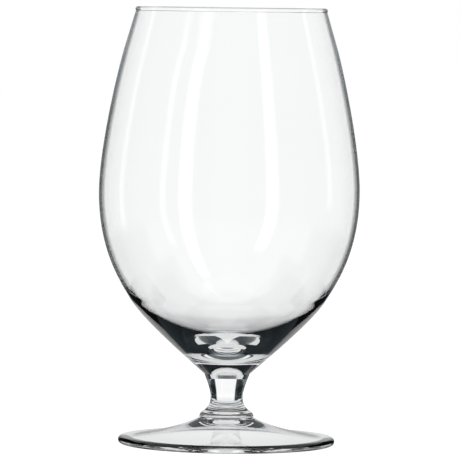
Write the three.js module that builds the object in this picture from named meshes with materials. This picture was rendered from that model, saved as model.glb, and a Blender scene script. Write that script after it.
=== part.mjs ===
// A short-stemmed beer glass in clear glass: a blown bowl, a pressed stem and a pressed foot, fused end to end.
// Millimetres, +Z up. The origin is the centre of the foot on the table, and every piece is turned about Z.

import * as THREE from "three";

// Foot: a thin plate that rises to a low boss under the stem, trumpet-shaped above and underneath, so that
// only the narrow ring near its rounded edge rests on the table.
const FOOT_RADIUS = 37.2;
const FOOT_EDGE_THICKNESS = 2.6;
const FOOT_HEIGHT = 9.0;
const FOOT_BOSS_MARGIN = 0.4;
const FOOT_BOSS_RUN = 5.0;
const FOOT_BOSS_DROP = 2.6;
const FOOT_BRIM_RUN = 12.0;
const FOOT_BRIM_RISE = 0.9;
const RESTING_RING_WIDTH = 2.4;
const FOOT_CROWN_WALL = 1.6;
const FOOT_CROWN_REACH = 9.5;
const FOOT_SKIRT_REACH = 17.0;
const FOOT_SKIRT_RISE = 2.0;

// Stem: narrowest at its waist, flared to the bowl above and to a round-edged disc on the foot below.
const STEM_HEIGHT = 15.2;
const STEM_TOP_RADIUS = 7.8;
const STEM_WAIST_RADIUS = 5.5;
const STEM_WAIST_HEIGHT = 7.4;
const STEM_BASE_RADIUS = 9.3;
const STEM_EDGE_HEIGHT = 0.5;
const STEM_EDGE_REACH = 2.5;
const STEM_FLARE_REACH = 5.2;
const STEM_NECK_REACH = 1.4;
const STEM_TOP_RUN = 1.5;
const STEM_TOP_DROP = 3.6;

// Bowl, outside: a cone on the stem, a shoulder, the belly, and a straight taper up to the rim.
const BOWL_HEIGHT = 125.8;
const CONE_SPREAD = 1.15;
const CONE_REACH = 6.8;
const SHOULDER_RADIUS = 33.6;
const SHOULDER_HEIGHT = 25.55;
const SHOULDER_LEAN = 0.62;
const SHOULDER_REACH_DOWN = 6.9;
const SHOULDER_REACH_UP = 6.2;
const BELLY_RADIUS = 44.75;
const BELLY_HEIGHT = 62.4;
const BELLY_REACH_DOWN = 19.6;
const BELLY_REACH_UP = 13.9;
const TAPER_LENGTH = 14.7;
const TAPER_REACH = 11.2;
const RIM_RADIUS = 32.8;
const RIM_TAPER = 0.267;

// Bowl, inside: a thin wall above the shoulder, and below it a deep round bottom over the thick base.
const RIM_WALL = 1.35;
const RIM_BEAD_RADIUS = 0.85;
const BELLY_WALL = 1.5;
const SHOULDER_WALL = 3.6;
const SHOULDER_DROP = 1.8;
const BOTTOM_LEAN = 0.92;
const BOTTOM_REACH_DOWN = 11.25;
const BOTTOM_REACH_OUT = 5.5;
const BASE_THICKNESS = 8.55;

// Facets round the axis, and steps along the curved stretches of a profile.
const TURN_FACETS = 60;
const HOLLOW_STEPS = 14;
const LONG_CURVE_STEPS = 9;
const SHORT_CURVE_STEPS = 6;

const glassLook = { color: 0xf7faf9, metalness: 0, roughness: 0.02, transparent: true, opacity: 0.35 };

// A profile holds points of radius (x) and height (y).
const point = (radius, height) => new THREE.Vector2(radius, height);

// A smooth stretch between two points, leaving and arriving along its two handles.
function smooth(from, fromHandle, toHandle, to, steps) {
  return new THREE.CubicBezierCurve(from, fromHandle, toHandle, to).getPoints(steps);
}

// A round edge about a centre, turning anticlockwise between two angles from the outward direction.
function roundEdge(centre, radius, startAngle, endAngle) {
  const arc = new THREE.EllipseCurve(centre.x, centre.y, radius, radius, startAngle, endAngle, false);
  return arc.getPoints(SHORT_CURVE_STEPS);
}

// Turns a closed profile about the upright axis, from its foot on the axis to its top on the axis.
function turn(name, ...stretches) {
  const profile = stretches.flat().filter((here, i, all) => i === 0 || !here.equals(all[i - 1]));
  const geometry = new THREE.LatheGeometry(profile, TURN_FACETS);
  geometry.rotateX(Math.PI / 2);
  const mesh = new THREE.Mesh(geometry, new THREE.MeshStandardMaterial(glassLook));
  mesh.name = name;
  return mesh;
}

function makeFoot() {
  const edgeRadius = FOOT_EDGE_THICKNESS / 2;
  const edgeCentre = point(FOOT_RADIUS - edgeRadius, edgeRadius);
  const brim = point(edgeCentre.x, FOOT_EDGE_THICKNESS);
  const boss = point(STEM_BASE_RADIUS + FOOT_BOSS_MARGIN, FOOT_HEIGHT);
  const ring = point(edgeCentre.x - RESTING_RING_WIDTH, 0);
  const crown = point(0, FOOT_HEIGHT - FOOT_CROWN_WALL);
  const hollow = smooth(
    crown,
    point(FOOT_CROWN_REACH, crown.y),
    point(ring.x - FOOT_SKIRT_REACH, FOOT_SKIRT_RISE),
    ring,
    HOLLOW_STEPS,
  );
  const edge = roundEdge(edgeCentre, edgeRadius, -Math.PI / 2, Math.PI / 2);
  const top = smooth(
    brim,
    point(brim.x - FOOT_BRIM_RUN, brim.y + FOOT_BRIM_RISE),
    point(boss.x + FOOT_BOSS_RUN, boss.y - FOOT_BOSS_DROP),
    boss,
    LONG_CURVE_STEPS,
  );
  return turn("foot", hollow, edge, top, point(0, FOOT_HEIGHT));
}

function makeStem() {
  const edge = point(STEM_BASE_RADIUS, STEM_EDGE_HEIGHT);
  const waist = point(STEM_WAIST_RADIUS, STEM_WAIST_HEIGHT);
  const top = point(STEM_TOP_RADIUS, STEM_HEIGHT);
  const flare = smooth(
    edge,
    point(edge.x, edge.y + STEM_EDGE_REACH),
    point(waist.x, waist.y - STEM_FLARE_REACH),
    waist,
    LONG_CURVE_STEPS,
  );
  const neck = smooth(
    waist,
    point(waist.x, waist.y + STEM_NECK_REACH),
    point(top.x - STEM_TOP_RUN, top.y - STEM_TOP_DROP),
    top,
    SHORT_CURVE_STEPS,
  );
  const landing = [point(0, 0), point(STEM_BASE_RADIUS - STEM_EDGE_HEIGHT / 2, 0)];
  return turn("stem", landing, flare, neck, point(0, STEM_HEIGHT));
}

// The outside of the bowl, from the stem up to the bead at the rim.
function bowlOutside() {
  const seat = point(STEM_TOP_RADIUS, 0);
  const shoulder = point(SHOULDER_RADIUS, SHOULDER_HEIGHT);
  const belly = point(BELLY_RADIUS, BELLY_HEIGHT);
  const taperFoot = point(RIM_RADIUS + RIM_TAPER * TAPER_LENGTH, BOWL_HEIGHT - TAPER_LENGTH);
  const cone = smooth(
    seat,
    point(seat.x + CONE_SPREAD * CONE_REACH, CONE_REACH),
    point(shoulder.x - SHOULDER_LEAN * SHOULDER_REACH_DOWN, shoulder.y - SHOULDER_REACH_DOWN),
    shoulder,
    LONG_CURVE_STEPS,
  );
  const swell = smooth(
    shoulder,
    point(shoulder.x + SHOULDER_LEAN * SHOULDER_REACH_UP, shoulder.y + SHOULDER_REACH_UP),
    point(belly.x, belly.y - BELLY_REACH_DOWN),
    belly,
    LONG_CURVE_STEPS,
  );
  const drawIn = smooth(
    belly,
    point(belly.x, belly.y + BELLY_REACH_UP),
    point(taperFoot.x + RIM_TAPER * TAPER_REACH, taperFoot.y - TAPER_REACH),
    taperFoot,
    LONG_CURVE_STEPS,
  );
  return [...cone, ...swell, ...drawIn];
}

// The inside of the bowl, from the rim down to the middle of its round bottom.
function bowlInside() {
  const taperFoot = point(
    RIM_RADIUS - RIM_WALL + RIM_TAPER * TAPER_LENGTH,
    BOWL_HEIGHT - TAPER_LENGTH,
  );
  const belly = point(BELLY_RADIUS - BELLY_WALL, BELLY_HEIGHT);
  const shoulder = point(SHOULDER_RADIUS - SHOULDER_WALL, SHOULDER_HEIGHT - SHOULDER_DROP);
  const drawIn = smooth(
    taperFoot,
    point(taperFoot.x + RIM_TAPER * TAPER_REACH, taperFoot.y - TAPER_REACH),
    point(belly.x, belly.y + BELLY_REACH_UP),
    belly,
    LONG_CURVE_STEPS,
  );
  const swell = smooth(
    belly,
    point(belly.x, belly.y - BELLY_REACH_DOWN),
    point(shoulder.x + BOTTOM_LEAN * SHOULDER_REACH_UP, shoulder.y + SHOULDER_REACH_UP),
    shoulder,
    LONG_CURVE_STEPS,
  );
  const bottom = smooth(
    shoulder,
    point(shoulder.x - BOTTOM_LEAN * BOTTOM_REACH_DOWN, shoulder.y - BOTTOM_REACH_DOWN),
    point(BOTTOM_REACH_OUT, BASE_THICKNESS),
    point(0, BASE_THICKNESS),
    LONG_CURVE_STEPS,
  );
  return [...drawIn, ...swell, ...bottom];
}

function makeBowl() {
  const beadCentre = point(RIM_RADIUS - RIM_WALL / 2, BOWL_HEIGHT - RIM_BEAD_RADIUS);
  const neckAngle = Math.acos(RIM_WALL / 2 / RIM_BEAD_RADIUS);
  const bead = roundEdge(beadCentre, RIM_BEAD_RADIUS, -neckAngle, Math.PI + neckAngle);
  return turn("bowl", point(0, 0), bowlOutside(), bead, bowlInside());
}

const glass = new THREE.Group();
const foot = makeFoot();
const stem = makeStem();
const bowl = makeBowl();
stem.position.z = FOOT_HEIGHT;
bowl.position.z = FOOT_HEIGHT + STEM_HEIGHT;
glass.add(foot, stem, bowl);

export default glass;
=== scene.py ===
"""The looks of a short-stemmed beer glass in clear glass, built round its CAD frame.

Metres, +Z up, in the frame's own axes. Every piece is a profile turned about Z, worked out with numpy from
the same sizes as the solids. Bowl, stem and foot are fused where they meet, so the two discs of glass that
lie face to face at a join carry a finish that light passes as if nothing were there.
"""

import logging
import math
from dataclasses import dataclass, field
from enum import Enum

import bpy
import numpy as np
from mathutils import Matrix, Vector


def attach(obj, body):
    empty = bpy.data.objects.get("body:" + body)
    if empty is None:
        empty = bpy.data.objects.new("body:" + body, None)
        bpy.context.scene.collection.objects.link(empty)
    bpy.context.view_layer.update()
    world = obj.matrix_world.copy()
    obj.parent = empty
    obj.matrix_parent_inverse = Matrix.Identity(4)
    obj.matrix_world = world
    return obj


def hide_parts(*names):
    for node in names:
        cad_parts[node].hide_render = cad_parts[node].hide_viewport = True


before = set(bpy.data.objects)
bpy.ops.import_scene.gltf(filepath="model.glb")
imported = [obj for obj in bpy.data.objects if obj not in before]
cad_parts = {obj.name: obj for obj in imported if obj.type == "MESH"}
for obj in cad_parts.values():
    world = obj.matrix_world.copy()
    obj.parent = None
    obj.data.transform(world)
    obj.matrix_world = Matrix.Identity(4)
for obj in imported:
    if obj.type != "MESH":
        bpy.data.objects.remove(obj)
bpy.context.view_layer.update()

MM = 0.001
IMAGE_SIDE = 460
SHARP_ANGLE = math.radians(20)
WHITE = (1.0, 1.0, 1.0, 1.0)
Point = tuple[float, float]
Range = tuple[float, float]
Socket = bpy.types.NodeSocket
Feed = bpy.types.NodeSocket | float | tuple
Feeds = dict[int | str, Feed]
log = logging.getLogger("beer_glass")


class Join(Enum):
    """How a stretch of a piece's surface is dressed."""

    OPEN = 0
    FUSED = 1


def bezier(start: Point, leave: Point, arrive: Point, end: Point, steps: int) -> np.ndarray:
    """A smooth stretch of profile between two points.

    The cubic (1-t)^3 P0 + 3t(1-t)^2 P1 + 3t^2(1-t) P2 + t^3 P3, for t from 0 to 1.

    Args:
        start: First point, as (radius, height).
        leave: Handle that the stretch leaves along.
        arrive: Handle that the stretch arrives along.
        end: Last point.
        steps: Number of equal steps of t.

    Returns:
        An array of steps + 1 rows of radius and height.
    """
    t = np.linspace(0.0, 1.0, steps + 1)[:, None]
    p0, p1, p2, p3 = (np.asarray(p, float) for p in (start, leave, arrive, end))
    return (1 - t) ** 3 * p0 + 3 * t * (1 - t) ** 2 * p1 + 3 * t**2 * (1 - t) * p2 + t**3 * p3


def arc(centre: Point, radius: float, first: float, last: float, steps: int) -> np.ndarray:
    """Part of a circle: centre + radius (cos a, sin a), for a from first to last.

    Args:
        centre: Middle of the circle, as (radius, height).
        radius: Radius of the circle.
        first: Angle of the first point, in radians from outward.
        last: Angle of the last point.
        steps: Number of equal steps of angle.

    Returns:
        An array of steps + 1 rows of radius and height.
    """
    a = np.linspace(first, last, steps + 1)
    return np.column_stack([centre[0] + radius * np.cos(a), centre[1] + radius * np.sin(a)])


def new_object(name: str, points: np.ndarray, faces: list[list[int]]) -> bpy.types.Object:
    """Adds an object to the scene.

    Args:
        name: Name of the object and of its mesh.
        points: Rows of x, y and z.
        faces: The points of each face, by number, anticlockwise from outside.

    Returns:
        The new object, with no material yet.
    """
    mesh = bpy.data.meshes.new(name)
    mesh.from_pydata(points.tolist(), [], faces)
    item = bpy.data.objects.new(name, mesh)
    bpy.context.scene.collection.objects.link(item)
    return item


def turned_piece(name: str, stretches: list[tuple[np.ndarray, Join]], facets: int) -> bpy.types.Object:
    """Turns a closed profile about the Z axis into a closed mesh.

    A point (r, z) of the profile and an angle a give the point (r cos a, r sin a, z). The profile runs from
    the axis out and round to the axis again, anticlockwise, so the faces point outwards, and each of its two
    ends is one shared vertex.

    Args:
        name: Name of the piece.
        stretches: Parts of the profile in order, each with how its faces are dressed.
        facets: Number of faces round the axis.

    Returns:
        The new object, with no material yet.
    """
    rows, kinds = [stretches[0][0][:1]], []
    for points, kind in stretches:
        lead = points if np.hypot(*(points[0] - rows[-1][-1])) > 1e-9 else points[1:]
        rows.append(lead)
        kinds += [kind.value] * len(lead)
    profile = np.vstack(rows)
    rings = profile[1:-1]
    angle = np.arange(facets) * (2 * np.pi / facets)
    ring_points = np.empty((len(rings), facets, 3))
    ring_points[..., 0] = rings[:, :1] * np.cos(angle)
    ring_points[..., 1] = rings[:, :1] * np.sin(angle)
    ring_points[..., 2] = rings[:, 1:]
    poles = [(0.0, 0.0, profile[0, 1]), (0.0, 0.0, profile[-1, 1])]
    points = np.vstack([ring_points.reshape(-1, 3), poles])

    here = np.arange(facets)
    after = np.roll(here, -1)
    starts = (np.arange(len(rings) - 1) * facets)[:, None]
    quads = np.stack([starts + here, starts + after, starts + facets + after, starts + facets + here], -1)
    quads = quads.reshape(-1, 4)
    bottom, top = len(points) - 2, len(points) - 1
    last = (len(rings) - 1) * facets
    low_fan = np.column_stack([np.full(facets, bottom), after, here])
    high_fan = np.column_stack([last + here, last + after, np.full(facets, top)])
    slots = np.concatenate([
        np.repeat(np.array(kinds[1:-1]), facets), np.full(facets, kinds[0]), np.full(facets, kinds[-1]),
    ])

    piece = new_object(name, points, quads.tolist() + low_fan.tolist() + high_fan.tolist())
    mesh = piece.data
    mesh.polygons.foreach_set("material_index", slots.astype(np.int32))
    mesh.polygons.foreach_set("use_smooth", np.ones(len(mesh.polygons), bool))
    mesh.set_sharp_from_angle(angle=SHARP_ANGLE)
    mesh.update()
    return piece


def straight(*points: Point) -> np.ndarray:
    """The given points as one stretch of profile."""
    return np.array(points, float)


@dataclass
class NodeTree:
    """A node tree with short ways to add and join nodes.

    Attributes:
        tree: Blender's own tree.
    """

    tree: bpy.types.NodeTree

    def add(self, kind: str, feeds: Feeds | None = None, **settings: object) -> bpy.types.Node:
        """Adds a node.

        Args:
            kind: The node's type.
            feeds: What its input sockets take, by their names or numbers.
            settings: Its plain properties, by name.

        Returns:
            The new node.
        """
        node = self.tree.nodes.new(kind)
        for key, value in settings.items():
            setattr(node, key, value)
        for key, source in (feeds or {}).items():
            self.put(source, node.inputs[key])
        return node

    def put(self, source: Feed, target: Socket) -> None:
        """Links a socket to a socket, or sets a socket's own value.

        Args:
            source: An output socket, or a plain value.
            target: The input socket.
        """
        if isinstance(source, bpy.types.NodeSocket):
            self.tree.links.new(source, target)
        else:
            target.default_value = source

    def finish(self, shader: Socket, kind: str = "ShaderNodeOutputMaterial") -> None:
        """Links a shader to a new output node."""
        self.add(kind, {"Surface": shader})

    def math(self, operation: str, first: Feed, second: Feed = 0.0, clamp: bool = False) -> Socket:
        """A Math node's result. COMPARE takes numbers less than a half apart for the same.

        Args:
            operation: Name of the operation.
            first: First value or socket.
            second: Second value or socket.
            clamp: Whether the result is kept from 0 to 1.

        Returns:
            The result's socket.
        """
        feeds = {0: first, 1: second, 2: 0.5}
        return self.add("ShaderNodeMath", feeds, operation=operation, use_clamp=clamp).outputs[0]

    def both(self, first: Feed, second: Feed) -> Socket:
        """The part that two masks share, or the product of two numbers."""
        return self.math("MULTIPLY", first, second)

    def either(self, first: Feed, second: Feed) -> Socket:
        """What at least one of two masks covers, or the larger of two numbers."""
        return self.math("MAXIMUM", first, second)

    def ramp(self, value: Feed, low: float, high: float, at_low: float, at_high: float) -> Socket:
        """A smooth step from one value to another as a value goes from low to high.

        Args:
            value: The value or socket that is mapped.
            low: Where the step begins.
            high: Where it ends.
            at_low: What it gives at and below low.
            at_high: What it gives at and above high.

        Returns:
            The result's socket.
        """
        feeds = {"Value": value, "From Min": low, "From Max": high, "To Min": at_low, "To Max": at_high}
        return self.add("ShaderNodeMapRange", feeds, interpolation_type="SMOOTHSTEP").outputs["Result"]

    def rise(self, value: Feed, step: Range) -> Socket:
        """A mask that goes smoothly from 0 to 1 over a step."""
        return self.ramp(value, *step, 0.0, 1.0)

    def fall(self, value: Feed, step: Range) -> Socket:
        """A mask that goes smoothly from 1 to 0 over a step."""
        return self.ramp(value, *step, 1.0, 0.0)

    def band(self, value: Feed, low: float, high: float, edge: float = 4.0) -> Socket:
        """A mask that is 1 while a value lies between two limits, with soft edges.

        Args:
            value: The value or socket that is tested.
            low: Lower limit, at the middle of its soft edge.
            high: Upper limit, at the middle of its soft edge.
            edge: Width of each soft edge.

        Returns:
            The mask's socket.
        """
        rise = self.rise(value, (low - edge / 2, low + edge / 2))
        return self.both(rise, self.fall(value, (high - edge / 2, high + edge / 2)))

    def choose(self, switch: Feed, off: Feed, on: Feed) -> Socket:
        """One of two numbers.

        Args:
            switch: 0 for the first number and 1 for the second.
            off: First number or socket.
            on: Second number or socket.

        Returns:
            The chosen number's socket.
        """
        return self.add("ShaderNodeMix", {0: switch, 2: off, 3: on}, data_type="FLOAT").outputs[0]

    def mix(self, factor: Feed, first: Feed, second: Feed) -> Socket:
        """A colour between two colours.

        Args:
            factor: 0 for the first colour and 1 for the second.
            first: First colour or socket.
            second: Second colour or socket.

        Returns:
            The mixed colour's socket.
        """
        return self.add("ShaderNodeMix", {0: factor, 6: first, 7: second}, data_type="RGBA").outputs[2]

    def noise(self, place: Feed, scale: Feed, detail: Feed) -> Socket:
        """A noise from 0 to 1.

        Args:
            place: Where it is read.
            scale: How fine it is.
            detail: How many finer noises are added to it.

        Returns:
            The noise's socket.
        """
        return self.add("ShaderNodeTexNoise", {"Vector": place, "Scale": scale, "Detail": detail}).outputs[0]

    def mix_shaders(self, factor: Feed, first: Socket, second: Socket) -> Socket:
        """A shader between two shaders, at 0 the first and at 1 the second."""
        return self.add("ShaderNodeMixShader", {0: factor, 1: first, 2: second}).outputs[0]


def blank_material(name: str) -> tuple[bpy.types.Material, NodeTree]:
    """A new material and its node tree, with no node in it yet."""
    material = bpy.data.materials.new(name)
    material.use_nodes = True
    tree = NodeTree(material.node_tree)
    tree.tree.nodes.clear()
    return material, tree


def new_group(name: str, vector: str, numbers: dict[str, float], results: tuple[str, ...]) -> NodeTree:
    """An empty shader node group that works out numbers from a vector and other numbers.

    Args:
        name: Name of the group.
        vector: Name of its vector input.
        numbers: Starting value of each number input, by name.
        results: Names of its outputs.

    Returns:
        The group's tree, with its input and output nodes in place.
    """
    group = bpy.data.node_groups.new(name, "ShaderNodeTree")
    group.interface.new_socket(vector, in_out="INPUT", socket_type="NodeSocketVector")
    for key, value in numbers.items():
        group.interface.new_socket(key, in_out="INPUT", socket_type="NodeSocketFloat").default_value = value
    for key in results:
        group.interface.new_socket(key, in_out="OUTPUT", socket_type="NodeSocketFloat")
    tree = NodeTree(group)
    tree.add("NodeGroupInput")
    tree.add("NodeGroupOutput")
    return tree


def ripple_group() -> bpy.types.NodeTree:
    """The slow unevenness of hot-worked glass, as a height.

    A broad noise plus a finer one that is drawn out along the Z axis.

    Returns:
        The node group.
    """
    numbers = {"Broad Scale": 40.0, "Fine Scale": 160.0, "Fine Share": 0.25, "Draw": 0.25, "Detail": 1.0}
    tree = new_group("glass_ripple", "Place", numbers, ("Height",))
    given = tree.tree.nodes["Group Input"].outputs
    draw = tree.add("ShaderNodeCombineXYZ", {"X": 1.0, "Y": 1.0, "Z": given["Draw"]}).outputs[0]
    drawn = tree.add("ShaderNodeVectorMath", {0: given["Place"], 1: draw}, operation="MULTIPLY").outputs[0]
    broad = tree.noise(given["Place"], given["Broad Scale"], given["Detail"])
    fine = tree.noise(drawn, given["Fine Scale"], given["Detail"])
    height = tree.math("ADD", broad, tree.both(fine, given["Fine Share"]))
    tree.put(height, tree.tree.nodes["Group Output"].inputs["Height"])
    return tree.tree


def handling_group() -> bpy.types.NodeTree:
    """Where glass is a little less than clean, as a mask from 0 to 1.

    Sparse specks of dust from a fine noise, plus a broad faint film left by drying.

    Returns:
        The node group.
    """
    numbers = {
        "Speck Scale": 900.0, "Speck Detail": 2.0, "Speck Cut": 0.72, "Speck Gain": 4.0,
        "Film Scale": 30.0, "Film Detail": 3.0, "Film Share": 0.3,
    }
    tree = new_group("glass_handling", "Place", numbers, ("Mask",))
    given = tree.tree.nodes["Group Input"].outputs
    speck = tree.noise(given["Place"], given["Speck Scale"], given["Speck Detail"])
    film = tree.noise(given["Place"], given["Film Scale"], given["Film Detail"])
    above = tree.math("SUBTRACT", speck, given["Speck Cut"], clamp=True)
    specks = tree.math("MULTIPLY", above, given["Speck Gain"], clamp=True)
    mask = tree.math("ADD", specks, tree.both(film, given["Film Share"]), clamp=True)
    tree.put(mask, tree.tree.nodes["Group Output"].inputs["Mask"])
    return tree.tree


@dataclass(frozen=True)
class GlassFinish:
    """Clear glass, fire-polished or pressed.

    Attributes:
        name: Name of the material.
        tint: Colour that the glass gives to what shows through it.
        film_tint: Colour where a drying film lies.
        clean_roughness: Roughness where the glass is clean.
        film_roughness: Roughness added under a full film.
        ripple: Height of the surface's unevenness, in metres.
        broad_scale: Noise scale of the slow unevenness.
        fine_scale: Noise scale of the fine unevenness.
        lamp_pass: Share of lamplight that goes through to what lies behind.
        ior: How strongly the glass bends light.
    """

    name: str
    tint: tuple[float, float, float] = (0.993, 0.997, 0.996)
    film_tint: tuple[float, float, float] = (0.965, 0.975, 0.975)
    clean_roughness: float = 0.0
    film_roughness: float = 0.02
    ripple: float = 4e-6
    broad_scale: float = 40.0
    fine_scale: float = 160.0
    lamp_pass: float = 0.9
    ior: float = 1.52

    def build(self, ripple: bpy.types.NodeTree, handling: bpy.types.NodeTree) -> bpy.types.Material:
        """Makes the material.

        Args:
            ripple: The node group of the surface's unevenness.
            handling: The node group of dust and film.

        Returns:
            The new material.
        """
        material, tree = blank_material(self.name)
        place = tree.add("ShaderNodeTexCoord").outputs["Object"]
        mask = tree.add("ShaderNodeGroup", {"Place": place}, node_tree=handling).outputs["Mask"]
        scales = {"Broad Scale": self.broad_scale, "Fine Scale": self.fine_scale}
        waves = tree.add("ShaderNodeGroup", {"Place": place} | scales, node_tree=ripple).outputs["Height"]
        bump = tree.add("ShaderNodeBump", {"Strength": 1.0, "Distance": self.ripple, "Height": waves})

        glass = tree.add("ShaderNodeBsdfPrincipled")
        tree.put(0.0, glass.inputs["Metallic"])
        tree.put(1.0, glass.inputs["Transmission Weight"])
        tree.put(self.ior, glass.inputs["IOR"])
        tint = tree.mix(mask, (*self.tint, 1.0), (*self.film_tint, 1.0))
        tree.put(tint, glass.inputs["Base Color"])
        haze = tree.both(mask, self.film_roughness)
        tree.put(tree.math("ADD", haze, self.clean_roughness), glass.inputs["Roughness"])
        tree.put(bump.outputs["Normal"], glass.inputs["Normal"])

        lamps = tree.add("ShaderNodeBsdfTransparent", {"Color": (self.lamp_pass,) * 3 + (1.0,)})
        shadow = tree.add("ShaderNodeLightPath").outputs["Is Shadow Ray"]
        tree.finish(tree.mix_shaders(shadow, glass.outputs[0], lamps.outputs[0]))
        return material


@dataclass(frozen=True)
class FusedJoin:
    """The finish of two discs of glass that melted into one: light passes it unchanged."""

    name: str = "fused_join"

    def build(self) -> bpy.types.Material:
        """Makes the material.

        Returns:
            The new material.
        """
        material, tree = blank_material(self.name)
        tree.finish(tree.add("ShaderNodeBsdfTransparent").outputs[0])
        return material


@dataclass
class Foot:
    """The pressed round foot: a thin plate, trumpet-shaped above and underneath, with a low boss.

    A reach, run, drop or rise is how far a curve's handle stands from its end, and steps are along the curve.
    """

    radius: float = 37.2 * MM
    edge_thickness: float = 2.6 * MM
    height: float = 9.0 * MM
    boss_margin: float = 0.4 * MM
    boss_run: float = 5.0 * MM
    boss_drop: float = 2.6 * MM
    brim_run: float = 12.0 * MM
    brim_rise: float = 0.9 * MM
    ring_width: float = 2.4 * MM
    crown_wall: float = 1.6 * MM
    crown_reach: float = 9.5 * MM
    skirt_reach: float = 17.0 * MM
    skirt_rise: float = 2.0 * MM
    under_steps: int = 60
    edge_steps: int = 28
    top_steps: int = 70
    facets: int = 192

    def build(self, stem: "Stem") -> bpy.types.Object:
        """Builds the foot under a stem.

        The profile is the hollow, the flat resting ring, a half-round edge, and a top that rises in one
        smooth stretch to the boss. The part of the boss that the stem covers is fused to it.

        Args:
            stem: The stem that stands on the foot.

        Returns:
            The foot.
        """
        edge = self.edge_thickness / 2
        brim = (self.radius - edge, self.edge_thickness)
        boss = (stem.base_radius + self.boss_margin, self.height)
        ring = (brim[0] - self.ring_width, 0.0)
        crown = (0.0, self.height - self.crown_wall)
        under = bezier(
            crown, (self.crown_reach, crown[1]), (ring[0] - self.skirt_reach, self.skirt_rise), ring,
            self.under_steps,
        )
        rim = arc((brim[0], edge), edge, -math.pi / 2, math.pi / 2, self.edge_steps)
        top = bezier(
            brim, (brim[0] - self.brim_run, brim[1] + self.brim_rise),
            (boss[0] + self.boss_run, boss[1] - self.boss_drop), boss, self.top_steps,
        )
        landing = straight(boss, (stem.landing_radius, self.height))
        fused = straight((stem.landing_radius, self.height), (0, self.height))
        stretches = [(under, Join.OPEN), (rim, Join.OPEN), (top, Join.OPEN), (landing, Join.OPEN)]
        return turned_piece("foot_glass", stretches + [(fused, Join.FUSED)], self.facets)


@dataclass
class Stem:
    """The pressed stem: a flared neck, a waist, and a round-edged disc that lands on the foot.

    A reach, run or drop is how far a curve's handle stands from its end, and steps are along the curve.
    """

    height: float = 15.2 * MM
    top_radius: float = 7.8 * MM
    waist_radius: float = 5.5 * MM
    waist_height: float = 7.4 * MM
    base_radius: float = 9.3 * MM
    edge_height: float = 0.5 * MM
    edge_reach: float = 2.5 * MM
    flare_reach: float = 5.2 * MM
    neck_reach: float = 1.4 * MM
    top_run: float = 1.5 * MM
    top_drop: float = 3.6 * MM
    flare_steps: int = 60
    neck_steps: int = 50
    facets: int = 160

    @property
    def landing_radius(self) -> float:
        """Radius of the disc that is fused to the foot."""
        return self.base_radius - self.edge_height / 2

    def build(self, foot: Foot) -> bpy.types.Object:
        """Builds the stem on a foot, as two smooth stretches that meet upright at the waist.

        Args:
            foot: The foot that it stands on.

        Returns:
            The stem.
        """
        z = foot.height
        edge = (self.base_radius, z + self.edge_height)
        waist = (self.waist_radius, z + self.waist_height)
        top = (self.top_radius, z + self.height)
        low_disc = straight((0, z), (self.landing_radius, z))
        lip = straight((self.landing_radius, z), edge)
        flare = bezier(
            edge, (edge[0], edge[1] + self.edge_reach),
            (waist[0], waist[1] - self.flare_reach), waist, self.flare_steps,
        )
        neck = bezier(
            waist, (waist[0], waist[1] + self.neck_reach),
            (top[0] - self.top_run, top[1] - self.top_drop), top, self.neck_steps,
        )
        high_disc = straight(top, (0, top[1]))
        stretches = [(low_disc, Join.FUSED), (lip, Join.OPEN), (flare, Join.OPEN), (neck, Join.OPEN)]
        return turned_piece("stem_glass", stretches + [(high_disc, Join.FUSED)], self.facets)


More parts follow.
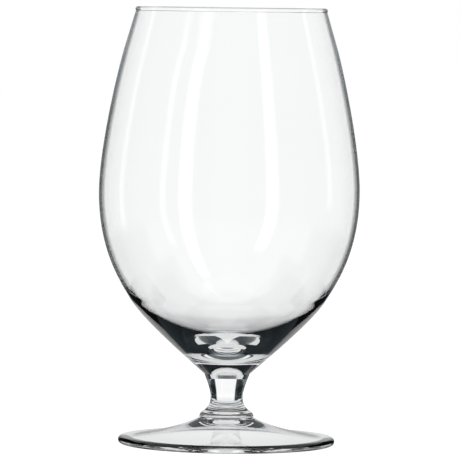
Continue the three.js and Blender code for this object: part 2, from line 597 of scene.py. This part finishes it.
@dataclass
class Bowl:
    """The blown bowl: a thick base, an even thin wall and a fire-polished bead at the rim.

    A reach is how far a curve's handle stands from its end, and steps are along the curve. A lean, spread or
    taper is how much the radius grows over each unit of height.
    """

    height: float = 125.8 * MM
    cone_spread: float = 1.15
    cone_reach: float = 6.8 * MM
    shoulder_radius: float = 33.6 * MM
    shoulder_height: float = 25.55 * MM
    shoulder_lean: float = 0.62
    shoulder_reach_down: float = 6.9 * MM
    shoulder_reach_up: float = 6.2 * MM
    belly_radius: float = 44.75 * MM
    belly_height: float = 62.4 * MM
    belly_reach_down: float = 19.6 * MM
    belly_reach_up: float = 13.9 * MM
    taper_length: float = 14.7 * MM
    taper_reach: float = 11.2 * MM
    rim_radius: float = 32.8 * MM
    rim_taper: float = 0.267
    rim_wall: float = 1.35 * MM
    bead_radius: float = 0.85 * MM
    belly_wall: float = 1.5 * MM
    inner_shoulder_radius: float = 30.0 * MM
    inner_shoulder_height: float = 23.75 * MM
    inner_shoulder_lean: float = 0.92
    inner_reach_up: float = 6.2 * MM
    inner_reach_down: float = 11.25 * MM
    bottom_reach: float = 5.5 * MM
    base_thickness: float = 8.55 * MM
    cone_steps: int = 60
    swell_steps: int = 50
    narrow_steps: int = 40
    bead_steps: int = 30
    wall_points: int = 12
    bottom_steps: int = 70
    facets: int = 224

    def outside(self, z: float, seat: float) -> np.ndarray:
        """The outer profile, from the stem up to the foot of the bead.

        Args:
            z: Height of the bowl's lowest face.
            seat: Radius where the bowl meets the stem.

        Returns:
            Rows of radius and height.
        """
        shoulder = np.array((self.shoulder_radius, z + self.shoulder_height))
        belly = np.array((self.belly_radius, z + self.belly_height))
        taper_radius = self.rim_radius + self.rim_taper * self.taper_length
        taper = np.array((taper_radius, z + self.height - self.taper_length))
        lean = np.array((self.shoulder_lean, 1.0))
        draw = np.array((self.rim_taper, -1.0))
        up = np.array((0.0, 1.0))
        cone = bezier(
            (seat, z), (seat + self.cone_spread * self.cone_reach, z + self.cone_reach),
            shoulder - lean * self.shoulder_reach_down, shoulder, self.cone_steps,
        )
        swell = bezier(
            shoulder, shoulder + lean * self.shoulder_reach_up,
            belly - up * self.belly_reach_down, belly, self.swell_steps,
        )
        narrow = bezier(
            belly, belly + up * self.belly_reach_up,
            taper + draw * self.taper_reach, taper, self.narrow_steps,
        )
        return np.vstack([cone, swell[1:], narrow[1:]])

    def inside(self, z: float) -> np.ndarray:
        """The inner profile, from the foot of the bead down to the middle of the bottom.

        Args:
            z: Height of the bowl's lowest face.

        Returns:
            Rows of radius and height.
        """
        shoulder = np.array((self.inner_shoulder_radius, z + self.inner_shoulder_height))
        belly = np.array((self.belly_radius - self.belly_wall, z + self.belly_height))
        taper_radius = self.rim_radius - self.rim_wall + self.rim_taper * self.taper_length
        taper = np.array((taper_radius, z + self.height - self.taper_length))
        lean = np.array((self.inner_shoulder_lean, 1.0))
        draw = np.array((self.rim_taper, -1.0))
        up = np.array((0.0, 1.0))
        under_bead = taper - draw * (self.taper_length - self.bead_radius * 2)
        wall = np.linspace(under_bead, taper, self.wall_points)
        narrow = bezier(
            taper, taper + draw * self.taper_reach,
            belly + up * self.belly_reach_up, belly, self.narrow_steps,
        )
        swell = bezier(
            belly, belly - up * self.belly_reach_down,
            shoulder + lean * self.inner_reach_up, shoulder, self.swell_steps,
        )
        bottom = bezier(
            shoulder, shoulder - lean * self.inner_reach_down, (self.bottom_reach, z + self.base_thickness),
            (0.0, z + self.base_thickness), self.bottom_steps,
        )
        return np.vstack([wall, narrow[1:], swell[1:], bottom[1:]])

    def build(self, foot: Foot, stem: Stem) -> bpy.types.Object:
        """Builds the bowl on a stem.

        Args:
            foot: The foot under the stem.
            stem: The stem that the bowl is fused to.

        Returns:
            The bowl.
        """
        z = foot.height + stem.height
        neck = math.acos(self.rim_wall / 2 / self.bead_radius)
        centre = (self.rim_radius - self.rim_wall / 2, z + self.height - self.bead_radius)
        bead = arc(centre, self.bead_radius, -neck, math.pi + neck, self.bead_steps)
        low_disc = straight((0, z), (stem.top_radius, z))
        open_part = np.vstack([self.outside(z, stem.top_radius), bead, self.inside(z)])
        return turned_piece("bowl_glass", [(low_disc, Join.FUSED), (open_part, Join.OPEN)], self.facets)


@dataclass
class GlassSet:
    """The whole glass: its three pieces and their finishes."""

    foot: Foot = field(default_factory=Foot)
    stem: Stem = field(default_factory=Stem)
    bowl: Bowl = field(default_factory=Bowl)

    def build(self) -> None:
        """Builds, dresses and seats the three pieces in place of their solids."""
        ripple, handling = ripple_group(), handling_group()
        join = FusedJoin().build()
        blown = GlassFinish("blown_glass")
        pressed = GlassFinish("pressed_glass", ripple=3e-6, broad_scale=70.0, fine_scale=240.0)
        made = {
            "bowl": (self.bowl.build(self.foot, self.stem), blown),
            "stem": (self.stem.build(self.foot), pressed),
            "foot": (self.foot.build(self.stem), pressed),
        }
        for node, (piece, finish) in made.items():
            material = bpy.data.materials.get(finish.name) or finish.build(ripple, handling)
            piece.data.materials.append(material)
            piece.data.materials.append(join)
            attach(piece, "root")
            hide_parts(node)
            log.info("%s: %d vertices, %s", piece.name, len(piece.data.vertices), finish.name)


@dataclass(frozen=True)
class StripLamp:
    """A tall narrow window of light that shows only as a reflection.

    Attributes:
        azimuth: Direction from the glass, in degrees from +Y towards +X.
        width: Width of its even part, in degrees.
        edge: Width of its soft edge, in degrees.
        level: Its brightness.
        foot: Elevation of its lower end, in degrees.
        lean: How fast its lower part turns towards +X, in degrees per square degree.
        tilt: How fast its upper part turns towards +X, in degrees per square degree.
    """

    azimuth: float
    width: float
    edge: float
    level: float
    foot: float
    lean: float = 0.0
    tilt: float = 0.0


@dataclass(frozen=True)
class Bearing:
    """A direction's angles, in degrees, as sockets.

    Attributes:
        azimuth: From +Y, straight ahead of the camera, towards +X.
        elevation: Up from the table.
        away: How far the azimuth is from +Y on either side.
    """

    azimuth: Socket
    elevation: Socket
    away: Socket


@dataclass
class Surround:
    """What stands round the table, by direction, as one brightness for each kind of ray.

    Angles are in degrees. A pair is where a soft step begins and ends, or the limits of a soft-edged patch.
    A name in sides is of azimuth on either side of +Y, a name in height is of elevation, and a name in slant
    is of elevation over azimuth. A level is a brightness, and 1 is white.
    """

    # More than one kind
    dark_level: float = 0.01
    flag_level: float = 0.02
    mirror_level: float = 0.66

    # Straight
    backdrop: Range = (-21.5, 28.5)
    backdrop_edge: float = 3.0
    foot_height: Range = (-12.0, -2.0)
    foot_level: float = 0.9
    open_height: Range = (-18.0, -12.0)
    open_sides: Range = (33.0, 39.0)
    rear_sides: Range = (76.0, 84.0)

    # Once
    middle_sides: Range = (7.0, 13.0)
    middle_level: float = 0.7
    flag_sides: Range = (10.0, 33.0)
    flag_height: Range = (-25.0, 14.0)
    wing_sides: Range = (35.0, 41.0)
    wing_level: float = 0.9
    near_sides: Range = (104.0, 116.0)
    near_height: Range = (-43.0, -37.0)
    near_level: float = 0.2

    # Deep
    deep_sides: Range = (31.5, 34.5)
    deep_level: float = 0.92
    deep_rear_sides: Range = (90.0, 102.0)
    deep_rear_level: float = 0.15
    deep_ground_height: Range = (-32.0, -20.0)
    deep_ground_level: float = 0.5

    # Through
    table_height: Range = (-23.5, -17.5)
    table_level: float = 0.8
    fade_height: Range = (-50.0, -21.0)
    fade_level: float = 0.5
    clear_sides: Range = (30.0, 38.0)
    clear_height: Range = (-54.0, -48.0)
    corner_sides: Range = (13.0, 34.0)
    corner_sides_edge: float = 8.0
    corner_height: Range = (-26.0, -7.0)
    corner_height_edge: float = 6.0
    corner_level: float = 0.5

    # Inner
    inner_sides: Range = (50.0, 70.0)
    ceiling_sides: Range = (110.0, 120.0)
    ceiling_height: Range = (30.0, 36.0)
    inner_level: float = 0.05

    # Room
    wall_sides: Range = (30.0, 75.0)
    wall_height: Range = (-12.0, 20.0)
    wall_level: float = 0.95
    under_height: Range = (-20.0, -10.0)
    front_sides: Range = (40.0, 60.0)
    front_height: Range = (-32.0, -28.0)
    front_level: float = 0.7
    ground_level: float = 0.15
    behind_sides: Range = (92.0, 104.0)
    behind_height: Range = (-65.0, -59.0)
    behind_level: float = 1.0
    beside_sides: Range = (50.0, 80.0)
    beside_height: Range = (-40.0, -32.0)
    mirrored_flag_sides: Range = (6.0, 26.0)
    flag_foot_slant: Range = (-0.95, -0.79)
    flag_head_slant: Range = (0.05, 0.3)
    flag_head_share: float = 0.35

    # Strips
    lean_below: float = -5.0
    tilt_above: float = 16.0
    strip_foot_edge: float = 3.0
    strips: tuple[StripLamp, ...] = (
        StripLamp(-140.3, 10.0, 3.0, 0.9, -52.0, -0.005, -0.045),
        StripLamp(-118.6, 4.0, 2.0, 0.7, -27.0, -0.014, -0.045),
        StripLamp(-68.5, 4.0, 2.0, 0.45, -13.0),
        StripLamp(141.3, 9.0, 3.0, 0.9, -32.0, 0.011),
        StripLamp(79.0, 5.0, 2.0, 0.6, -6.0),
    )

    def bearing(self, tree: NodeTree, direction: Socket) -> Bearing:
        """The angles of a direction: atan2(x, y) for its azimuth and asin(z) for its elevation.

        Args:
            tree: The tree that the nodes are added to.
            direction: The direction, of any length.

        Returns:
            The angles' sockets.
        """
        unit = tree.add("ShaderNodeVectorMath", {0: direction}, operation="NORMALIZE").outputs[0]
        x, y, z = tree.add("ShaderNodeSeparateXYZ", {0: unit}).outputs
        degrees = 180 / math.pi
        azimuth = tree.both(tree.math("ARCTAN2", x, y), degrees)
        elevation = tree.both(tree.math("ARCSINE", z), degrees)
        return Bearing(azimuth, elevation, tree.math("ABSOLUTE", azimuth))

    def straight(self, tree: NodeTree, at: Bearing) -> Socket:
        """What solid glass shows by bending alone: a white backdrop between dark sides.

        The sides end above the table and before they come round to the camera, so that the foot, the stem
        and the thick base are clear from other sides too.

        Args:
            tree: The tree that the nodes are added to.
            at: The direction.

        Returns:
            The brightness.
        """
        backdrop = tree.band(at.azimuth, *self.backdrop, self.backdrop_edge)
        white = tree.ramp(at.elevation, *self.foot_height, self.foot_level, 1.0)
        below = tree.both(tree.fall(at.elevation, self.open_height),
                          tree.rise(at.away, self.open_sides))
        rear = tree.rise(at.away, self.rear_sides)
        return tree.choose(tree.either(backdrop, tree.either(below, rear)), self.dark_level, white)

    def near_table(self, tree: NodeTree, at: Bearing) -> Socket:
        """A mask of the table close round the glass, except behind the camera."""
        return tree.both(tree.fall(at.elevation, self.near_height),
                         tree.fall(at.away, self.near_sides))

    def once(self, tree: NodeTree, at: Bearing) -> Socket:
        """What solid glass shows by mirroring once: a pale room, two dark flags ahead and a dark near table.

        Args:
            tree: The tree that the nodes are added to.
            at: The direction.

        Returns:
            The brightness.
        """
        ahead = tree.ramp(at.away, *self.middle_sides, self.middle_level, 1.0)
        flag = tree.both(tree.band(at.away, *self.flag_sides), tree.band(at.elevation, *self.flag_height))
        ahead = tree.choose(flag, ahead, self.flag_level)
        room = tree.choose(tree.rise(at.away, self.wing_sides), ahead, self.wing_level)
        return tree.choose(self.near_table(tree, at), room, self.near_level)

    def deep(self, tree: NodeTree, at: Bearing) -> Socket:
        """What solid glass shows by mirroring more often: the backdrop, dark sides, grey below and behind.

        Args:
            tree: The tree that the nodes are added to.
            at: The direction.

        Returns:
            The brightness.
        """
        backdrop = tree.ramp(at.away, *self.deep_sides, self.deep_level, self.dark_level)
        rear = tree.ramp(at.away, *self.deep_rear_sides, 0.0, self.deep_rear_level)
        ground = tree.ramp(at.elevation, *self.deep_ground_height, self.deep_ground_level, 0.0)
        return tree.either(tree.math("ADD", backdrop, rear), ground)

    def through(self, tree: NodeTree, at: Bearing) -> Socket:
        """What shows straight through thin walls: white, with a table ahead that greys towards the glass.

        A grey patch stands at either side of the table's far edge.

        Args:
            tree: The tree that the nodes are added to.
            at: The direction.

        Returns:
            The brightness.
        """
        table = tree.both(tree.ramp(at.elevation, *self.table_height, self.table_level, 1.0),
                          tree.ramp(at.elevation, *self.fade_height, self.fade_level, 1.0))
        clear = tree.either(tree.rise(at.away, self.clear_sides),
                            tree.fall(at.elevation, self.clear_height))
        corner = tree.both(tree.band(at.away, *self.corner_sides, self.corner_sides_edge),
                           tree.band(at.elevation, *self.corner_height, self.corner_height_edge))
        return tree.choose(corner, tree.choose(clear, table, 1.0), self.corner_level)

    def inner(self, tree: NodeTree, at: Bearing) -> Socket:
        """What thin walls mirror: an even grey room, dark on the near table and under a high ceiling.

        Args:
            tree: The tree that the nodes are added to.
            at: The direction.

        Returns:
            The brightness.
        """
        high = tree.both(tree.rise(at.elevation, self.ceiling_height),
                         tree.fall(at.away, self.ceiling_sides))
        low = tree.both(self.near_table(tree, at), tree.fall(at.away, self.inner_sides))
        return tree.choose(tree.either(high, low), self.mirror_level, self.inner_level)

    def room(self, tree: NodeTree, at: Bearing) -> Socket:
        """What the outer surface mirrors: a grey room with pale walls, a dim table and two dark flags.

        The table is pale straight ahead, low at the sides, and behind. The lower and upper ends of the flags
        follow the slant, elevation over azimuth, so that both lie level in the bowl's outline.

        Args:
            tree: The tree that the nodes are added to.
            at: The direction.

        Returns:
            The brightness.
        """
        wall = tree.both(tree.band(at.away, *self.wall_sides), tree.band(at.elevation, *self.wall_height))
        upper = tree.choose(wall, self.mirror_level, self.wall_level)
        front = tree.ramp(at.away, *self.front_sides, self.front_level, self.ground_level)
        steep = tree.fall(at.elevation, self.front_height)
        front = tree.choose(steep, front, self.ground_level)
        beside = tree.both(tree.rise(at.away, self.beside_sides),
                           tree.fall(at.elevation, self.beside_height))
        behind = tree.both(tree.either(beside, tree.rise(at.away, self.behind_sides)),
                           tree.rise(at.elevation, self.behind_height))
        lower = tree.choose(behind, front, self.behind_level)
        under = tree.fall(at.elevation, self.under_height)
        slant = tree.math("DIVIDE", at.elevation, tree.either(at.away, 1.0))
        flag = tree.both(tree.band(at.away, *self.mirrored_flag_sides),
                         tree.rise(slant, self.flag_foot_slant))
        flag = tree.both(flag, tree.ramp(slant, *self.flag_head_slant, 1.0, self.flag_head_share))
        return tree.choose(flag, tree.choose(under, upper, lower), self.flag_level)

    def lit_strips(self, tree: NodeTree, at: Bearing) -> Socket:
        """The strip lamps: plateaus of azimuth above a lower end, turned aside low down and high up.

        A strip's middle is azimuth + lean b^2 + tilt a^2, where b is how far the elevation lies below
        lean_below and a how far it lies above tilt_above.

        Args:
            tree: The tree that the nodes are added to.
            at: The direction.

        Returns:
            The brightness.
        """
        below = tree.either(tree.math("SUBTRACT", self.lean_below, at.elevation), 0.0)
        above = tree.either(tree.math("SUBTRACT", at.elevation, self.tilt_above), 0.0)
        turns = tree.both(below, below), tree.both(above, above)
        total = 0.0
        for strip in self.strips:
            middle = tree.math("ADD", strip.azimuth, tree.both(turns[0], strip.lean))
            middle = tree.math("ADD", middle, tree.both(turns[1], strip.tilt))
            off = tree.math("ABSOLUTE", tree.math("SUBTRACT", at.azimuth, middle))
            lit = tree.ramp(off, strip.width / 2, strip.width / 2 + strip.edge, strip.level, 0.0)
            foot = strip.foot - self.strip_foot_edge, strip.foot + self.strip_foot_edge
            total = tree.math("ADD", total, tree.both(lit, tree.rise(at.elevation, foot)))
        return total

    def build(self) -> bpy.types.NodeTree:
        """Makes the node group, with one output for each kind of ray.

        Returns:
            The node group.
        """
        kinds = {"Straight": self.straight, "Once": self.once, "Deep": self.deep, "Through": self.through,
                 "Inner": self.inner, "Room": self.room, "Strips": self.lit_strips}
        tree = new_group("studio_pattern", "Direction", {}, tuple(kinds))
        at = self.bearing(tree, tree.tree.nodes["Group Input"].outputs["Direction"])
        for kind, brightness in kinds.items():
            tree.put(brightness(tree, at), tree.tree.nodes["Group Output"].inputs[kind])
        return tree.tree


@dataclass(frozen=True)
class Card:
    """A low curved card beside the foot, seen only by light that the glass has mirrored.

    Attributes:
        name: Its name.
        start: Azimuth of one end, in degrees from +Y towards +X.
        end: Azimuth of the other end, in degrees.
        bent: How many surfaces of the glass the light that meets it has passed through.
        level: Its brightness.
        radius: Distance from the glass's axis.
        height: Height above the table.
        columns: Number of points along each edge.
    """

    name: str
    start: float
    end: float
    bent: float
    level: float
    radius: float = 70.0 * MM
    height: float = 33.0 * MM
    columns: int = 48

    def build(self) -> None:
        """Stands the card on the table.

        It is part of a cylinder's wall, (r sin a, r cos a, z), for azimuths a from one end to the other.
        """
        angle = np.radians(np.linspace(self.start, self.end, self.columns))
        ring = np.column_stack([self.radius * np.sin(angle), self.radius * np.cos(angle)])
        edges = [np.column_stack([ring, np.full(self.columns, z)]) for z in (0.0, self.height)]
        low = np.arange(self.columns - 1)
        high = low + self.columns
        faces = np.column_stack([low, low + 1, high + 1, high])
        stand = new_object(self.name, np.vstack(edges), faces.tolist())
        material, tree = blank_material(self.name)
        rays = tree.add("ShaderNodeLightPath").outputs
        mirrored = tree.math("GREATER_THAN", rays["Glossy Depth"], 0.5)
        bent = tree.math("COMPARE", rays["Transmission Depth"], self.bent)
        glow = tree.add("ShaderNodeEmission", {"Strength": self.level}).outputs[0]
        unseen = tree.add("ShaderNodeBsdfTransparent").outputs[0]
        tree.finish(tree.mix_shaders(tree.both(mirrored, bent), unseen, glow))
        stand.data.materials.append(material)
        for kind in ("camera", "diffuse", "shadow"):
            setattr(stand, f"visible_{kind}", False)


@dataclass
class Studio:
    """A pale table, what stands round it, low cards by the foot, a soft lamp and the camera.

    The darkest parts of the surround take the tint, and from the brightness tint_end on nothing does.
    """

    surround: Surround = field(default_factory=Surround)
    dark_tint: tuple[float, float, float] = (0.74, 1.0, 1.13)
    tint_end: float = 0.7
    soft_light: float = 0.7
    floor_glow: float = 0.8
    floor_grey: float = 0.3
    floor_radius: float = 6.0
    floor_facets: int = 64
    cards: tuple[Card, ...] = (
        Card("back_card", -45.0, 45.0, 2.0, 0.78),
        Card("left_card", -105.0, -48.0, 0.0, 0.02),
        Card("right_card", 48.0, 105.0, 0.0, 0.02),
    )
    lamp_place: tuple[float, float, float] = (-0.3, -0.2, 1.6)
    lamp_size: float = 1.2
    lamp_power: float = 12.0
    camera_distance: float = 1.6
    camera_height: float = 0.150
    camera_roll: float = 0.75
    camera_range: float = 20.0
    aim_x: float = 0.0004
    aim_z: float = 0.07364
    pixels_per_mm: float = 2.913

    def seen_light(self, tree: NodeTree) -> Socket:
        """The light that a ray through or off the glass meets, by how often it was bent and mirrored.

        More than two bends mean that it passed a thin wall and not only solid glass.

        Args:
            tree: The tree that the nodes are added to.

        Returns:
            A socket with the brightness.
        """
        rays = tree.add("ShaderNodeLightPath").outputs
        direction = tree.add("ShaderNodeTexCoord").outputs["Generated"]
        seen = tree.add("ShaderNodeGroup", {"Direction": direction}, node_tree=self.surround.build()).outputs
        mirrored = tree.math("GREATER_THAN", rays["Glossy Depth"], 0.5)
        often = tree.math("GREATER_THAN", rays["Glossy Depth"], 1.5)
        bent = tree.math("GREATER_THAN", rays["Transmission Depth"], 0.5)
        thin = tree.math("GREATER_THAN", rays["Transmission Depth"], 2.5)
        once = tree.math("ADD", tree.choose(mirrored, seen["Straight"], seen["Once"]), seen["Strips"])
        solid = tree.choose(often, once, seen["Deep"])
        walls = tree.choose(mirrored, seen["Through"], seen["Inner"])
        walls = tree.choose(often, walls, solid)
        front = tree.math("ADD", seen["Room"], seen["Strips"])
        return tree.choose(bent, front, tree.choose(thin, solid, walls))

    def make_world(self) -> None:
        """Shows white to the camera, the surround to the glass, and a soft light to everything else."""
        world = bpy.data.worlds.new("studio")
        bpy.context.scene.world = world
        world.use_nodes = True
        tree = NodeTree(world.node_tree)
        tree.tree.nodes.clear()
        rays = tree.add("ShaderNodeLightPath").outputs
        light = tree.choose(rays["Is Diffuse Ray"], self.seen_light(tree), self.soft_light)
        light = tree.choose(rays["Is Camera Ray"], light, 1.0)
        tint = tree.mix(tree.ramp(light, 0.0, self.tint_end, 0.0, 1.0), (*self.dark_tint, 1.0), WHITE)
        shine = tree.add("ShaderNodeBackground", {"Color": tint, "Strength": light})
        tree.finish(shine.outputs[0], "ShaderNodeOutputWorld")

    def make_floor(self) -> None:
        """Lays the pale table: white to the camera, with the glass's soft shadow left on it."""
        angle = np.arange(self.floor_facets) * (2 * np.pi / self.floor_facets)
        edge = np.column_stack([np.cos(angle), np.sin(angle), np.zeros(self.floor_facets)])
        floor = new_object("table", self.floor_radius * edge, [list(range(self.floor_facets))])
        material, tree = blank_material("pale_table")
        glow = tree.add("ShaderNodeEmission", {"Strength": self.floor_glow}).outputs[0]
        cloth = tree.add("ShaderNodeBsdfDiffuse", {"Color": (self.floor_grey,) * 3 + (1.0,)}).outputs[0]
        tree.finish(tree.add("ShaderNodeAddShader", {0: glow, 1: cloth}).outputs[0])
        floor.data.materials.append(material)
        floor.visible_glossy = False
        floor.visible_transmission = False

    def make_camera(self) -> None:
        """Stands the camera level with the rim, looking a little down at the middle of the picture."""
        data = bpy.data.cameras.new("camera")
        camera = bpy.data.objects.new("camera", data)
        bpy.context.scene.collection.objects.link(camera)
        place = Vector((0.0, -self.camera_distance, self.camera_height))
        aim = Vector((self.aim_x, 0.0, self.aim_z))
        look = (aim - place).to_track_quat("-Z", "Y").to_matrix().to_4x4()
        roll = Matrix.Rotation(math.radians(self.camera_roll), 4, "Z")
        camera.matrix_world = Matrix.Translation(place) @ look @ roll
        width = IMAGE_SIDE / self.pixels_per_mm * MM
        data.lens = data.sensor_width * (aim - place).length / width
        data.clip_end = self.camera_range
        bpy.context.scene.camera = camera

    def make_lamp(self) -> None:
        """Hangs one large soft lamp over the table."""
        data = bpy.data.lights.new("overhead", "AREA")
        data.shape = "DISK"
        data.size = self.lamp_size
        data.energy = self.lamp_power
        lamp = bpy.data.objects.new("overhead", data)
        bpy.context.scene.collection.objects.link(lamp)
        lamp.location = self.lamp_place
        lamp.rotation_euler = (-lamp.location).to_track_quat("-Z", "Y").to_euler()
        lamp.visible_glossy = False
        lamp.visible_transmission = False

    def build(self) -> None:
        """Builds the studio."""
        self.make_world()
        self.make_floor()
        for card in self.cards:
            card.build()
        self.make_lamp()
        self.make_camera()
        bpy.context.scene.view_settings.view_transform = "Standard"


def main() -> None:
    """Builds the glass, then the studio round it."""
    logging.basicConfig(level=logging.INFO, format="%(name)s: %(message)s")
    GlassSet().build()
    Studio().build()


if __name__ == "__main__":
    main()
